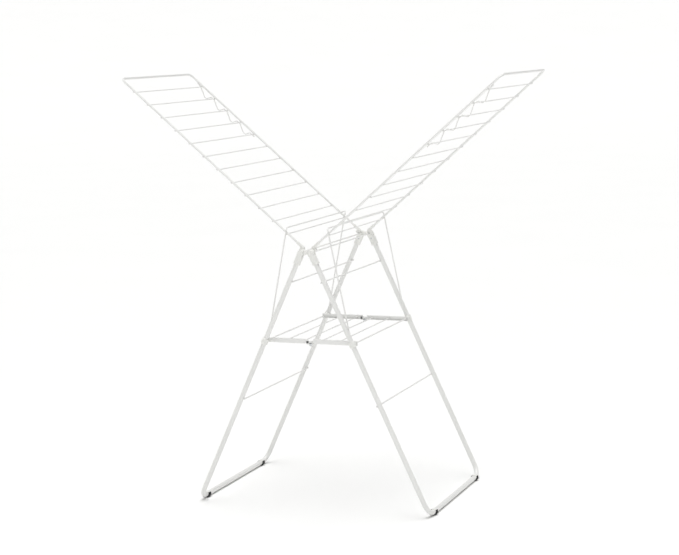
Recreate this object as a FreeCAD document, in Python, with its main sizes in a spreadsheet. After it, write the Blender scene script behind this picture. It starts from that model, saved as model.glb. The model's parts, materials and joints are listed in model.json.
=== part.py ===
import FreeCAD, Part
import math
import os

# Clothes drying rack: two leg frames crossing at a hinge head, two wings, two wing props and a folding shelf.
# Millimetres and degrees. Floor at z = 0, left towards -x, near towards -y.
# The right half is the left half turned 180 degrees about z.

doc = FreeCAD.newDocument("DryingRack")

# ---------------------------------------------------------------- sizes
SIZES = [
    ("frame_width", 560.0),
    ("tube_diameter", 16.0),
    ("tube_wall", 1.2),
    ("leg_length", 921.0),
    ("leg_lean", 24.74),
    ("foot_bend", 40.0),
    ("pad_thickness", 3.0),
    ("pad_length", 16.0),
    ("pad_flat", 0.6),
    ("clip_length", 20.0),
    ("clip_wall", 2.0),
    ("pivot_spacing", 33.0),
    ("hinge_rod", 5.0),
    ("pin_play", 0.08),
    ("fit_gap", 0.05),
    ("weld_sink", 0.1),
    ("socket_wall", 4.0),
    ("socket_reach", 42.0),
    ("socket_taper_start", 20.0),
    ("cheek_radius", 9.5),
    ("slot_depth", 11.0),
    ("tube_top", 12.5),
    ("screw_drop", 18.0),
    ("screw_diameter", 3.0),
    ("screw_head", 6.0),
    ("link_thickness", 8.0),
    ("link_eye_radius", 9.0),
    ("link_waist", 12.0),
    ("link_boss_radius", 6.3),
    ("link_boss_width", 20.0),
    ("cap_diameter", 10.0),
    ("cap_length", 2.4),
    ("upper_brace_at", 101.7),
    ("lower_brace_at", 536.2),
    ("brace_diameter", 4.5),
    ("wing_rise", 40.8),
    ("wing_length", 845.6),
    ("rail_diameter", 7.5),
    ("rail_wall", 0.9),
    ("rail_offset", 9.5),
    ("rail_start", 14.0),
    ("tip_bend", 22.0),
    ("wire_diameter", 3.6),
    ("wire_tip_gap", 62.3),
    ("wire_hinge_gap", 79.6),
    ("wide_pitch_ratio", 1.032),
    ("hook_drop", 26.0),
    ("hook_bend", 4.0),
    ("knuckle_width", 8.0),
    ("knuckle_radius", 6.0),
    ("sleeve_wall", 1.45),
    ("sleeve_length", 36.0),
    ("prop_pivot", 295.4),
    ("prop_bar_along", 91.4),
    ("prop_bar_above", 14.0),
    ("prop_diameter", 4.5),
    ("prop_bend", 9.0),
    ("prop_foot_bend", 3.0),
    ("prop_gap", 0.75),
    ("rail_gap", 0.5),
    ("bar_gap", 0.75),
    ("bar_height", 15.0),
    ("bar_depth", 7.0),
    ("bar_wall", 1.2),
    ("bar_overhang", 9.0),
    ("bar_end_gap", 8.0),
    ("shelf_pivot", 323.6),
    ("shelf_rod", 4.5),
    ("centre_drop", 10.0),
    ("lug_radius", 6.5),
    ("lug_thickness", 2.3),
    ("lug_gap", 0.3),
    ("rivet_diameter", 5.0),
    ("rivet_head", 9.0),
    ("bracket_wall", 3.5),
    ("bracket_height", 18.0),
    ("bracket_boss_radius", 6.5),
    ("bracket_gap", 0.8),
    ("inner_wire_offset", 28.6),
    ("outer_wire_offset", 90.0),
]

sheet = doc.addObject("Spreadsheet::Sheet", "Sizes")
for row, (alias, value) in enumerate(SIZES, start=1):
    sheet.set(f"A{row}", alias)
    sheet.set(f"B{row}", str(value))
    sheet.setAlias(f"B{row}", alias)
doc.recompute()

# ---------------------------------------------------------------- values worked out from the sizes
TUBE_R = "Sizes.tube_diameter / 2"
ROD_R = "Sizes.hinge_rod / 2"
PROP_R = "Sizes.prop_diameter / 2"
RAIL_R = "Sizes.rail_diameter / 2"
WIRE_R = "Sizes.wire_diameter / 2"
BRACE_R = "Sizes.brace_diameter / 2"
LEG_Y = "Sizes.frame_width / 2"
FOOT_Z = f"({TUBE_R} + Sizes.pad_thickness)"
HINGE_Z = f"({FOOT_Z} + Sizes.leg_length * cos(Sizes.leg_lean))"
SOCKET_R = f"({TUBE_R} + Sizes.socket_wall)"
PROP_Y = f"({LEG_Y} - {TUBE_R} - Sizes.prop_gap - {PROP_R})"
RAIL_Y = f"({PROP_Y} - {PROP_R} - Sizes.rail_gap - {RAIL_R})"
BAR_Y = f"({RAIL_Y} - {RAIL_R} - Sizes.bar_gap)"
BOSS_Y = f"({BAR_Y} + Sizes.bracket_gap)"
HALF_SPAN = "(Sizes.pivot_spacing / 2 + Sizes.shelf_pivot * sin(Sizes.leg_lean))"
WIRE_DEPTH = f"({RAIL_R} + {WIRE_R} - Sizes.weld_sink)"
BAR_LIFT = "(Sizes.rail_offset + Sizes.prop_bar_above)"
PROP_ACROSS = (
    f"(Sizes.prop_pivot * sin(Sizes.leg_lean) + {BAR_LIFT} * sin(Sizes.wing_rise)"
    " - Sizes.prop_bar_along * cos(Sizes.wing_rise))"
)
PROP_UP = (
    f"(Sizes.prop_pivot * cos(Sizes.leg_lean) + {BAR_LIFT} * cos(Sizes.wing_rise)"
    " + Sizes.prop_bar_along * sin(Sizes.wing_rise))"
)
PROP_LENGTH = f"sqrt({PROP_ACROSS} ^ 2 + {PROP_UP} ^ 2)"
PROP_LEAN = f"(atan2({PROP_ACROSS}; {PROP_UP}) / 1 deg)"
WIRE_FIELD = "(Sizes.wing_length - Sizes.wire_tip_gap - Sizes.wire_hinge_gap)"
CLOSE_PITCH = f"{WIRE_FIELD} / (7 * Sizes.wide_pitch_ratio + 4)"
ROD_END = f"({LEG_Y} + {SOCKET_R} + Sizes.cap_length - 0.8)"

NEAR_FAR = (("Near", -1), ("Far", 1))


# ---------------------------------------------------------------- small builders
def vector(x, y, z):
    return f"create(<<vector>>; {x}; {y}; {z})"


def at(x=0, y=0, z=0, axis=(0, 0, 1), angle=0):
    """Placement text: a position, then a turn about an axis."""
    turn = f"create(<<rotation>>; {vector(*axis)}; {angle})"
    return f"create(<<placement>>; {vector(x, y, z)}; {turn})"


def frame(name, placement):
    """A named point that carries a body's position and direction."""
    point = doc.addObject("Part::Vertex", name)
    point.setExpression("Placement", placement)
    return point


def cylinder(name, radius, height, placement):
    solid = doc.addObject("Part::Cylinder", name)
    solid.setExpression("Radius", radius)
    solid.setExpression("Height", height)
    solid.setExpression("Placement", placement)
    return solid


def cross_rod(name, radius, inner, outer, side, x="0", z="0"):
    """A cylinder along y between two distances from the middle, on one side of it."""
    start = f"{inner}" if side > 0 else f"-({outer})"
    return cylinder(name, radius, f"{outer} - ({inner})", at(x, start, z, (1, 0, 0), -90))


def full_rod(name, radius, half, x="0", z="0"):
    """A cylinder along y, the same length each side of the middle."""
    return cylinder(name, radius, f"2 * ({half})", at(x, f"-({half})", z, (1, 0, 0), -90))


def block(name, x, y, z, length, width, height):
    solid = doc.addObject("Part::Box", name)
    solid.setExpression("Length", length)
    solid.setExpression("Width", width)
    solid.setExpression("Height", height)
    solid.setExpression("Placement", at(x, y, z))
    return solid


def side_block(name, x, z, length, height, inner, outer, side):
    """A block between two distances from the middle, on one side of it."""
    start = f"{inner}" if side > 0 else f"-({outer})"
    return block(name, x, start, z, length, f"{outer} - ({inner})", height)


def corner(name, bend, radius, x, y, z, axis):
    """A quarter of a ring: the bend of a round bar."""
    ring = doc.addObject("Part::Torus", name)
    ring.setExpression("Radius1", bend)
    ring.setExpression("Radius2", radius)
    ring.setExpression("Angle3", "90")
    ring.setExpression("Placement", at(x, y, z, axis, 120))
    return ring


def fuse(name, shapes):
    joined = doc.addObject("Part::MultiFuse", name)
    joined.Shapes = shapes
    return joined


def cut(name, base, tools):
    tool = tools[0] if len(tools) == 1 else fuse(f"{name}Tools", tools)
    result = doc.addObject("Part::Cut", name)
    result.Base = base
    result.Tool = tool
    return result


def group(name, shapes):
    result = doc.addObject("Part::Compound", name)
    result.Links = shapes
    return result


def hoop(name, half, start, reach, bend, radius, x="0"):
    """A round bar bent into a U: two arms along z joined by a cross bar along y."""
    parts = []
    for tag, side in NEAR_FAR:
        arm_place = at(x, f"{side} * ({half})", f"-({reach} - {bend})")
        parts.append(cylinder(f"{name}{tag}Arm", radius, f"{reach} - {bend} - ({start})", arm_place))
        axis = (-1, -side, side)
        middle = f"{side} * ({half} - {bend})"
        parts.append(corner(f"{name}{tag}Bend", bend, radius, x, middle, f"-({reach} - {bend})", axis))
    parts.append(full_rod(f"{name}Cross", radius, f"{half} - {bend}", x, f"-({reach})"))
    return fuse(name, parts)


nodes = []


def node(label, shape, body):
    """Marks a finished sub-part and puts it on its body's frame."""
    shape.Label = label
    shape.setExpression("Placement", f"{body}.Placement")
    nodes.append(shape)
    return shape


def value(alias):
    return float(sheet.get(alias))


# ---------------------------------------------------------------- body frames
TURNED = at(0, 0, 0, (0, 0, 1), 180)
frame("Head", at(0, 0, HINGE_Z))
frame("LeftLeg", at("-Sizes.pivot_spacing / 2", 0, HINGE_Z, (0, 1, 0), "Sizes.leg_lean"))
frame("LeftWing", at("-Sizes.pivot_spacing / 2", 0, HINGE_Z, (0, 1, 0), "90 + Sizes.wing_rise"))
PROP_TURN = f"180 + {PROP_LEAN} - Sizes.leg_lean"
frame("LeftProp", "LeftLeg.Placement * " + at(0, 0, "-Sizes.prop_pivot", (0, 1, 0), PROP_TURN))
frame("LeftShelf", "LeftLeg.Placement * " + at(0, 0, "-Sizes.shelf_pivot", (0, 1, 0), "-Sizes.leg_lean"))
frame("LeftFoot", "LeftLeg.Placement * " + at(0, 0, "-Sizes.leg_length", (0, 1, 0), "-Sizes.leg_lean"))
for body_part in ("Leg", "Wing", "Prop", "Shelf", "Foot"):
    frame(f"Right{body_part}", f"{TURNED} * Left{body_part}.Placement")


# ---------------------------------------------------------------- hinge head
def hinge_head():
    """Two cross rods held by a link plate at each side, with a push-on cap at every rod end."""
    half_gap = "Sizes.pivot_spacing / 2"
    for tag, side in NEAR_FAR:
        name = f"Link{tag}"
        inner = f"{LEG_Y} - Sizes.link_thickness / 2"
        outer = f"{LEG_Y} + Sizes.link_thickness / 2"
        body = [
            cross_rod(f"{name}LeftEye", "Sizes.link_eye_radius", inner, outer, side, f"-{half_gap}"),
            cross_rod(f"{name}RightEye", "Sizes.link_eye_radius", inner, outer, side, half_gap),
            side_block(f"{name}Waist", f"-{half_gap}", "-Sizes.link_waist / 2", "Sizes.pivot_spacing",
                       "Sizes.link_waist", inner, outer, side),
            cross_rod(f"{name}Boss", "Sizes.link_boss_radius", f"{LEG_Y} - Sizes.link_boss_width / 2",
                      f"{LEG_Y} + Sizes.link_boss_width / 2", side),
        ]
        bore = f"{ROD_R} + Sizes.fit_gap"
        holes = [
            cross_rod(f"{name}LeftBore", bore, f"{inner} - 1", f"{outer} + 1", side, f"-{half_gap}"),
            cross_rod(f"{name}RightBore", bore, f"{inner} - 1", f"{outer} + 1", side, half_gap),
        ]
        node(f"{tag.lower()}_hinge_link", cut(name, fuse(f"{name}Body", body), holes), "Head")

    caps = []
    for label, sign in (("Left", "-"), ("Right", "")):
        rod = full_rod(f"HingeRod{label}", ROD_R, ROD_END, f"{sign}{half_gap}")
        node(f"{label.lower()}_hinge_rod", group(f"HingeRod{label}Node", [rod]), "Head")
        for tag, side in NEAR_FAR:
            name = f"Cap{label}{tag}"
            start = f"{LEG_Y} + {SOCKET_R} + 0.2"
            end = f"{LEG_Y} + {SOCKET_R} + 0.2 + Sizes.cap_length"
            body = cross_rod(f"{name}Body", "Sizes.cap_diameter / 2", start, end, side, f"{sign}{half_gap}")
            bore = cross_rod(f"{name}Bore", f"{ROD_R} + Sizes.fit_gap", f"{start} - 1", f"{ROD_END} + 0.05",
                             side, f"{sign}{half_gap}")
            caps.append(cut(name, body, [bore]))
    node("hinge_rod_caps", group("HingeRodCaps", caps), "Head")


# ---------------------------------------------------------------- leg frame
def leg_tube(side_name, body):
    """The bent tube: two legs joined by the foot bar, drilled for the props and the socket screws."""
    name = f"{side_name}Tube"
    outer = hoop(f"{name}Outer", LEG_Y, "Sizes.tube_top", "Sizes.leg_length", "Sizes.foot_bend", TUBE_R)
    bore = hoop(f"{name}Bore", LEG_Y, "Sizes.tube_top - 2", "Sizes.leg_length", "Sizes.foot_bend",
                f"{TUBE_R} - Sizes.tube_wall")
    tools = [bore]
    for tag, side in NEAR_FAR:
        face = f"{LEG_Y} - {TUBE_R}"
        tools.append(cross_rod(f"{name}{tag}PropHole", f"{PROP_R} + Sizes.pin_play", f"{face} - 2",
                               LEG_Y, side, "0", "-Sizes.prop_pivot"))
        tools.append(cross_rod(f"{name}{tag}ScrewHole", "Sizes.screw_diameter / 2 + Sizes.fit_gap",
                               f"{face} - 2", LEG_Y, side, "0", "-Sizes.screw_drop"))
    node(f"{side_name.lower()}_leg_tube", cut(name, outer, tools), body)


def brace(side_name, label, distance, body):
    """A thin cross bar welded to the inner faces of both legs."""
    name = f"{side_name}{label}Brace"
    x = f"{TUBE_R} + {BRACE_R} - Sizes.weld_sink"
    rod = full_rod(f"{name}Rod", BRACE_R, f"{LEG_Y} + 4", x, f"-({distance})")
    node(f"{side_name.lower()}_{label.lower()}_brace", group(name, [rod]), body)


def socket(side_name, tag, side, body):
    """Moulded leg head: a sleeve over the tube, tapering into two cheeks either side of the link."""
    name = f"{side_name}{tag}Socket"
    y = f"{side} * ({LEG_Y})"
    inner = f"{LEG_Y} - {SOCKET_R}"
    outer = f"{LEG_Y} + {SOCKET_R}"
    taper = doc.addObject("Part::Cone", f"{name}Taper")
    taper.setExpression("Radius1", SOCKET_R)
    taper.setExpression("Radius2", "Sizes.cheek_radius")
    taper.setExpression("Height", "Sizes.socket_taper_start - 8")
    taper.setExpression("Placement", at(0, y, "-Sizes.socket_taper_start"))
    body_shapes = [
        cylinder(f"{name}Sleeve", SOCKET_R, "Sizes.socket_reach - Sizes.socket_taper_start",
                 at(0, y, "-Sizes.socket_reach")),
        taper,
        side_block(f"{name}Cheeks", "-Sizes.cheek_radius", "-Sizes.slot_depth - 3", "2 * Sizes.cheek_radius",
                   "Sizes.slot_depth + 3", inner, outer, side),
        cross_rod(f"{name}Eye", "Sizes.cheek_radius", inner, outer, side),
    ]
    slot_half = "(Sizes.link_thickness / 2 + 0.1)"
    tools = [
        cylinder(f"{name}TubeBore", f"{TUBE_R} + Sizes.fit_gap", "Sizes.socket_reach - Sizes.tube_top + 1.1",
                 at(0, y, "-Sizes.socket_reach - 1")),
        side_block(f"{name}Slot", "-20", "-Sizes.slot_depth", "40", "Sizes.slot_depth + 20",
                   f"{LEG_Y} - {slot_half}", f"{LEG_Y} + {slot_half}", side),
        cross_rod(f"{name}RodBore", f"{ROD_R} + Sizes.pin_play", f"{inner} - 1", f"{outer} + 1", side),
        cross_rod(f"{name}ScrewHole", "Sizes.screw_diameter / 2 + Sizes.fit_gap", f"{inner} - 1", LEG_Y,
                  side, "0", "-Sizes.screw_drop"),
    ]
    shape = cut(name, fuse(f"{name}Body", body_shapes), tools)
    node(f"{side_name.lower()}_{tag.lower()}_socket", shape, body)


def socket_screws(side_name, body):
    """One screw in the inner face of each socket, through the tube wall."""
    screws = []
    for tag, side in NEAR_FAR:
        name = f"{side_name}{tag}Screw"
        face = f"{LEG_Y} - {SOCKET_R}"
        head = cross_rod(f"{name}Head", "Sizes.screw_head / 2", f"{face} - 1.1", f"{face} - 0.02", side,
                         "0", "-Sizes.screw_drop")
        shank = cross_rod(f"{name}Shank", "Sizes.screw_diameter / 2", f"{face} - 0.5", f"{face} + 7", side,
                          "0", "-Sizes.screw_drop")
        screws.append(fuse(name, [head, shank]))
    node(f"{side_name.lower()}_socket_screws", group(f"{side_name}Screws", screws), body)


def bracket(side_name, tag, side, body):
    """Collar on a leg with an inward boss that carries the end of the shelf bar."""
    name = f"{side_name}{tag}Bracket"
    y = f"{side} * ({LEG_Y})"
    bottom = "-Sizes.shelf_pivot - Sizes.bracket_height / 2"
    collar = cylinder(f"{name}Collar", f"{TUBE_R} + Sizes.bracket_wall", "Sizes.bracket_height", at(0, y, bottom))
    boss = cross_rod(f"{name}Boss", "Sizes.bracket_boss_radius", BOSS_Y, f"{LEG_Y} - {TUBE_R}", side, "0",
                     "-Sizes.shelf_pivot")
    tools = [
        cylinder(f"{name}TubeBore", f"{TUBE_R} + Sizes.fit_gap", "Sizes.bracket_height + 2",
                 at(0, y, f"{bottom} - 1")),
        cross_rod(f"{name}RodBore", "Sizes.shelf_rod / 2 + Sizes.fit_gap", f"{BOSS_Y} - 1",
                  f"{LEG_Y} - {TUBE_R} - 1.9", side, "0", "-Sizes.shelf_pivot"),
    ]
    shape = cut(name, fuse(f"{name}Body", [collar, boss]), tools)
    node(f"{side_name.lower()}_{tag.lower()}_bracket", shape, body)


def feet(side_name, body):
    """Rubber pads under the foot bar, each held in the window of a moulded clip."""
    pads = []
    clips = []
    for tag, side in NEAR_FAR:
        middle = f"{LEG_Y} - Sizes.foot_bend - Sizes.clip_length / 2"
        pad_in = f"{middle} - Sizes.pad_length / 2"
        pad_out = f"{middle} + Sizes.pad_length / 2"
        clip_in = f"{middle} - Sizes.clip_length / 2"
        clip_out = f"{middle} + Sizes.clip_length / 2"
        name = f"{side_name}{tag}"
        bore = f"{TUBE_R} + Sizes.fit_gap"
        pad_body = cross_rod(f"{name}PadBody", f"{FOOT_Z} + Sizes.pad_flat", pad_in, pad_out, side)
        pad = cut(f"{name}Pad", pad_body, [
            side_block(f"{name}PadSole", "-20", f"-{FOOT_Z} - 20", "40", "20", f"{pad_in} - 1", f"{pad_out} + 1", side),
            cross_rod(f"{name}PadBore", bore, f"{pad_in} - 1", f"{pad_out} + 1", side),
            side_block(f"{name}PadTop", "-20", "2", "40", "20", f"{pad_in} - 1", f"{pad_out} + 1", side),
        ])
        pads.append(pad)
        clip_body = cross_rod(f"{name}ClipBody", f"{TUBE_R} + Sizes.clip_wall", clip_in, clip_out, side)
        clip = cut(f"{name}Clip", clip_body, [
            cross_rod(f"{name}ClipBore", bore, f"{clip_in} - 1", f"{clip_out} + 1", side),
            side_block(f"{name}Window", "-20", "-20", "40", "22.1", f"{pad_in} - 0.1", f"{pad_out} + 0.1", side),
        ])
        clips.append(clip)
    node(f"{side_name.lower()}_foot_pads", group(f"{side_name}Pads", pads), body)
    node(f"{side_name.lower()}_foot_clips", group(f"{side_name}Clips", clips), body)


# ---------------------------------------------------------------- wing
def wire_at(index):
    """Distance of a wing wire from the pivot: seven wide pitches from the tip, then four closer ones."""
    wide = min(index, 7)
    close = max(index - 7, 0)
    steps = f"({wide} * Sizes.wide_pitch_ratio + {close})"
    return f"Sizes.wing_length - Sizes.wire_tip_gap - {CLOSE_PITCH} * {steps}"


def wire_distance(index):
    """The same distance as a number, for the hanger rail's path at the tip end."""
    return value("wing_length") - value("wire_tip_gap") - index * wide_pitch()


def wide_pitch():
    """The wider spacing of the wires, as a number."""
    field = value("wing_length") - value("wire_tip_gap") - value("wire_hinge_gap")
    return field * value("wide_pitch_ratio") / (7 * value("wide_pitch_ratio") + 4)


def wing_frame(side_name, body):
    name = f"{side_name}WingFrame"
    x = "-Sizes.rail_offset"
    outer = hoop(f"{name}Outer", RAIL_Y, "Sizes.rail_start", "Sizes.wing_length", "Sizes.tip_bend", RAIL_R, x)
    bore = hoop(f"{name}Bore", RAIL_Y, "Sizes.rail_start - 2", "Sizes.wing_length", "Sizes.tip_bend",
                f"{RAIL_R} - Sizes.rail_wall", x)
    node(f"{side_name.lower()}_wing_frame", cut(name, outer, [bore]), body)


def wing_wires(side_name, body):
    """Twelve straight wires welded under the rails."""
    wires = []
    for index in range(12):
        x = f"{WIRE_DEPTH} - Sizes.rail_offset"
        half = f"{RAIL_Y} + {RAIL_R} - 0.3"
        wires.append(full_rod(f"{side_name}Wire{index + 1}", WIRE_R, half, x, f"-({wire_at(index)})"))
    node(f"{side_name.lower()}_wing_wires", group(f"{side_name}WingWires", wires), body)


def rounded_path(points, bend):
    """Edges through the points, with an arc of the given radius at every bend."""
    edges = []
    start = points[0]
    for before, here, after in zip(points, points[1:], points[2:]):
        into = (here - before).normalize()
        out = (after - here).normalize()
        half_turn = into.getAngle(out) / 2
        cut_back = bend * math.tan(half_turn)
        first = here - into * cut_back
        last = here + out * cut_back
        inward = (out - into).normalize()
        middle = here + inward * (bend / math.cos(half_turn) - bend)
        edges.append(Part.makeLine(start, first))
        edges.append(Part.Arc(first, middle, last).toShape())
        start = last
    edges.append(Part.makeLine(start, points[-1]))
    return edges


def hanger_wire(side_name, side, body):
    """Saw-tooth wire under one rail, giving four notches for coat hangers."""
    rail_r = value("rail_diameter") / 2
    wire_r = value("wire_diameter") / 2
    sink = value("weld_sink")
    prop_y = value("frame_width") / 2 - value("tube_diameter") / 2 - value("prop_gap") - value("prop_diameter") / 2
    rail_y = side * (prop_y - value("prop_diameter") / 2 - value("rail_gap") - rail_r)
    pitch = wide_pitch()
    under_wire = rail_r + 3 * wire_r - 2 * sink
    under_rail = rail_r + wire_r - sink
    drop = value("hook_drop")

    def point(distance, depth):
        return FreeCAD.Vector(depth - value("rail_offset"), rail_y, -distance)

    points = [point(wire_distance(0) + 0.32 * pitch, under_rail), point(wire_distance(0) + 0.22 * pitch, under_rail)]
    points.append(point(wire_distance(0), under_wire))
    for index in range(1, 5):
        here = wire_distance(index)
        points.append(point(here + 0.51 * pitch, drop))
        points.append(point(here + 0.37 * pitch, drop - 1))
        points.append(point(here + 0.22 * pitch, under_wire + 1.4))
        points.append(point(here, under_wire))
    points.append(point(wire_distance(4) - 0.12 * pitch, under_wire))
    path = Part.Wire(rounded_path(points, value("hook_bend")))
    heading = points[1] - points[0]
    section = Part.Wire([Part.makeCircle(wire_r, points[0], heading)])
    solid = path.makePipeShell([section], True, False)
    feature = doc.addObject("Part::Feature", f"{side_name}HangerWire")
    feature.Shape = solid
    return node(f"{side_name.lower()}_hanger_wire", feature, body)


def wing_end(side_name, tag, side, body):
    """Moulded knuckle that turns on the hinge rod and holds the end of a rail."""
    name = f"{side_name}{tag}WingEnd"
    inner = f"{RAIL_Y} - Sizes.knuckle_width / 2"
    outer = f"{RAIL_Y} + Sizes.knuckle_width / 2"
    sleeve_place = at("-Sizes.rail_offset", f"{side} * ({RAIL_Y})", "-Sizes.sleeve_length")
    body_shapes = [
        cross_rod(f"{name}Eye", "Sizes.knuckle_radius", inner, outer, side),
        side_block(f"{name}Web", "-Sizes.rail_offset - 2.5", "-Sizes.rail_start - 2",
                   "Sizes.rail_offset + 6.5", "Sizes.rail_start", inner, outer, side),
        cylinder(f"{name}Sleeve", f"{RAIL_R} + Sizes.sleeve_wall", "Sizes.sleeve_length - 6", sleeve_place),
    ]
    bore_place = at("-Sizes.rail_offset", f"{side} * ({RAIL_Y})", "-Sizes.sleeve_length - 1")
    tools = [
        cross_rod(f"{name}RodBore", f"{ROD_R} + Sizes.pin_play", f"{inner} - 2", f"{outer} + 2", side),
        cylinder(f"{name}RailBore", f"{RAIL_R} + Sizes.fit_gap", "Sizes.sleeve_length - Sizes.rail_start + 1.1",
                 bore_place),
    ]
    shape = cut(name, fuse(f"{name}Body", body_shapes), tools)
    node(f"{side_name.lower()}_wing_{tag.lower()}_end", shape, body)


# ---------------------------------------------------------------- wing prop
def wing_prop(side_name, body):
    """Wire bail: its ends turn outward into the legs and its cross bar passes over the rails."""
    name = f"{side_name}Prop"
    bend = "Sizes.prop_foot_bend"
    parts = [hoop(f"{name}Hoop", PROP_Y, bend, PROP_LENGTH, "Sizes.prop_bend", PROP_R)]
    for tag, side in NEAR_FAR:
        middle = f"{side} * ({PROP_Y} + {bend})"
        parts.append(corner(f"{name}{tag}FootBend", bend, PROP_R, "0", middle, f"-{bend}", (1, -side, -side)))
        parts.append(cross_rod(f"{name}{tag}Pin", PROP_R, f"{PROP_Y} + {bend}", f"{LEG_Y} - {TUBE_R} + 4.5", side))
    node(f"{side_name.lower()}_prop", fuse(name, parts), body)


# ---------------------------------------------------------------- folding shelf
def shelf_bar(side_name, tag, side, layer, body):
    """Channel bar from a leg to the middle, with a round lug for the centre rivet."""
    name = f"{side_name}{tag}Bar"
    inner = f"{BAR_Y} - Sizes.bar_depth"
    length = f"{HALF_SPAN} - Sizes.bar_end_gap + Sizes.bar_overhang"
    outside = side_block(f"{name}Outside", "-Sizes.bar_overhang", "-Sizes.bar_height / 2", length,
                         "Sizes.bar_height", inner, BAR_Y, side)
    groove = side_block(f"{name}Groove", "-Sizes.bar_overhang - 1", "-Sizes.bar_height / 2 + Sizes.bar_wall",
                        f"{length} + 2", "Sizes.bar_height - 2 * Sizes.bar_wall", f"{inner} - 1",
                        f"{BAR_Y} - Sizes.bar_wall", side)
    channel = cut(f"{name}Channel", outside, [groove])
    lug_out = BAR_Y if layer == "outer" else f"({BAR_Y} - Sizes.lug_thickness - Sizes.lug_gap)"
    lug_in = f"{lug_out} - Sizes.lug_thickness"
    shapes = [
        channel,
        cross_rod(f"{name}Lug", "Sizes.lug_radius", lug_in, lug_out, side, HALF_SPAN, "-Sizes.centre_drop"),
        side_block(f"{name}Arm", f"{HALF_SPAN} - 16", "-Sizes.centre_drop", "18", "Sizes.centre_drop + 2",
                   lug_in, lug_out, side),
        side_block(f"{name}Filler", f"{HALF_SPAN} - 18", "-Sizes.bar_height / 2 + 0.5", "9",
                   "Sizes.bar_height / 2 + 1.5", lug_in, f"{BAR_Y} - 0.5", side),
    ]
    holes = [
        cross_rod(f"{name}RodHole", "Sizes.shelf_rod / 2 + Sizes.pin_play", f"{inner} - 1", f"{BAR_Y} + 1", side),
        cross_rod(f"{name}RivetHole", "Sizes.rivet_diameter / 2 + Sizes.pin_play", f"{inner} - 1", f"{BAR_Y} + 1",
                  side, HALF_SPAN, "-Sizes.centre_drop"),
    ]
    shape = cut(name, fuse(f"{name}Body", shapes), holes)
    node(f"{side_name.lower()}_shelf_{tag.lower()}_bar", shape, body)


def shelf_wires(side_name, body):
    """Two straight wires between the bars of one shelf half."""
    wires = []
    half = f"{BAR_Y} - Sizes.bar_wall + Sizes.weld_sink"
    for label in ("inner", "outer"):
        x = f"{HALF_SPAN} - Sizes.{label}_wire_offset"
        wires.append(full_rod(f"{side_name}Shelf{label.title()}Wire", WIRE_R, half, x))
    node(f"{side_name.lower()}_shelf_wires", group(f"{side_name}ShelfWires", wires), body)


def shelf_rods():
    """Left: held in both brackets, the bars turn on it. Right: held in the bars, stopping short of the brackets."""
    left = full_rod("LeftShelfRodBar", "Sizes.shelf_rod / 2", f"{LEG_Y} - {TUBE_R} - 2.5")
    node("left_shelf_rod", group("LeftShelfRod", [left]), "LeftShelf")
    right = full_rod("RightShelfRodBar", "Sizes.shelf_rod / 2", f"{BOSS_Y} - 0.4")
    node("right_shelf_rod", group("RightShelfRod", [right]), "RightShelf")


def shelf_rivets(body):
    """The two centre rivets that join the shelf halves."""
    rivets = []
    for tag, side in NEAR_FAR:
        name = f"Rivet{tag}"
        stack = "2 * Sizes.lug_thickness + Sizes.lug_gap"
        spans = (
            ("Shank", "Sizes.rivet_diameter / 2", f"{BAR_Y} - ({stack}) - 0.4", f"{BAR_Y} + 0.4"),
            ("OuterHead", "Sizes.rivet_head / 2", f"{BAR_Y} + 0.1", f"{BAR_Y} + 0.7"),
            ("InnerHead", "Sizes.rivet_head / 2", f"{BAR_Y} - ({stack}) - 1.3", f"{BAR_Y} - ({stack}) - 0.1"),
        )
        pieces = []
        for label, radius, start, end in spans:
            pieces.append(cross_rod(f"{name}{label}", radius, start, end, side, HALF_SPAN, "-Sizes.centre_drop"))
        rivets.append(fuse(name, pieces))
    node("shelf_rivets", group("ShelfRivets", rivets), body)


# ---------------------------------------------------------------- build both halves
hinge_head()
for SIDE, mirror in (("Left", 1), ("Right", -1)):
    leg_tube(SIDE, f"{SIDE}Leg")
    brace(SIDE, "Upper", "Sizes.upper_brace_at", f"{SIDE}Leg")
    brace(SIDE, "Lower", "Sizes.lower_brace_at", f"{SIDE}Leg")
    # Turned 180 degrees, what is near on the left is far on the right, so labels follow the turned position.
    for tag, local_side in NEAR_FAR:
        own_side = local_side * mirror
        socket(SIDE, tag, own_side, f"{SIDE}Leg")
        bracket(SIDE, tag, own_side, f"{SIDE}Leg")
        wing_end(SIDE, tag, own_side, f"{SIDE}Wing")
        layer = "outer" if own_side < 0 else "inner"
        shelf_bar(SIDE, tag, own_side, layer, f"{SIDE}Shelf")
    socket_screws(SIDE, f"{SIDE}Leg")
    feet(SIDE, f"{SIDE}Foot")
    wing_frame(SIDE, f"{SIDE}Wing")
    wing_wires(SIDE, f"{SIDE}Wing")
    hanger_wire(SIDE, 1, f"{SIDE}Wing")
    wing_prop(SIDE, f"{SIDE}Prop")
    shelf_wires(SIDE, f"{SIDE}Shelf")
shelf_rods()
shelf_rivets("LeftShelf")

doc.recompute()

# ---------------------------------------------------------------- checks and export
for item in doc.Objects:
    if "Invalid" in item.State or "Error" in item.State:
        raise RuntimeError(f"{item.Name} did not build: {item.State}")
for item in nodes:
    if item.Shape.isNull() or not item.Shape.isValid():
        raise RuntimeError(f"{item.Label} has a bad shape")
    if not item.Shape.Solids:
        raise RuntimeError(f"{item.Label} holds no solid")

os.makedirs("parts", exist_ok=True)
for item in nodes:
    item.Shape.exportStep(os.path.join("parts", f"{item.Label}.step"))
    print(item.Label, len(item.Shape.Solids), round(item.Shape.Volume, 1))
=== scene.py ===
"""Looks for the clothes drying rack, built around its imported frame. Metres; left is -x, near is -y, floor at z = 0.

The right half of the rack is the left half after a half turn about the upright axis, so every class builds
one side in that side's own coordinates and a BodyFrame carries the points to where they belong.
"""

import json
import logging
import math
from dataclasses import dataclass
from enum import Enum

import bpy
import numpy as np
from mathutils import Matrix, Vector


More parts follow.
